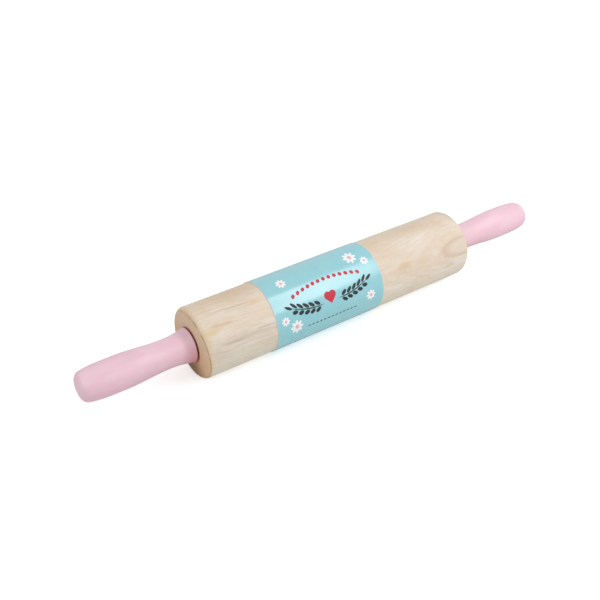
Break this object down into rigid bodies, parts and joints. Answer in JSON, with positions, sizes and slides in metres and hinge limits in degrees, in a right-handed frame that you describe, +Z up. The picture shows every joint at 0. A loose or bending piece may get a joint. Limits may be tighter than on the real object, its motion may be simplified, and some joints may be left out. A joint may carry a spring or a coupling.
{
  "type": "rolling pin",
  "caption": "Revolving rolling pin with a plain wooden barrel, painted turned handles on a steel rod, and a card band round the barrel.",
  "frame": {"origin": "on the resting surface, below the middle of the pin", "axes": "+X along the pin towards the far handle, +Z up, the near handle at -X"},
  "size_m": [0.4266, 0.0574, 0.0573],
  "materials": {
    "beech_wood": "fine sanded, unvarnished",
    "printed_card": "printed and satin coated",
    "pink_painted_wood": "satin enamel paint",
    "zinc_plated_steel": "zinc plated",
    "white_nylon": "moulded"
  },
  "bodies": {
    "barrel": {"barrel": "beech_wood", "near_bush": "white_nylon", "far_bush": "white_nylon"},
    "grips": {"axle_rod": "zinc_plated_steel", "near_handle": "pink_painted_wood", "far_handle": "pink_painted_wood", "near_washer": "zinc_plated_steel", "far_washer": "zinc_plated_steel"},
    "band": {"label_sleeve": "printed_card"}
  },
  "joints": [
    {"name": "grip_spin", "type": "hinge", "parent": "barrel", "child": "grips", "pos_m": [0, 0, 0.02866], "axis": [1, 0, 0], "continuous": true},
    {"name": "band_slide", "type": "slide", "parent": "barrel", "child": "band", "axis": [1, 0, 0], "range_m": [-0.25, 0.285]}
  ]
}
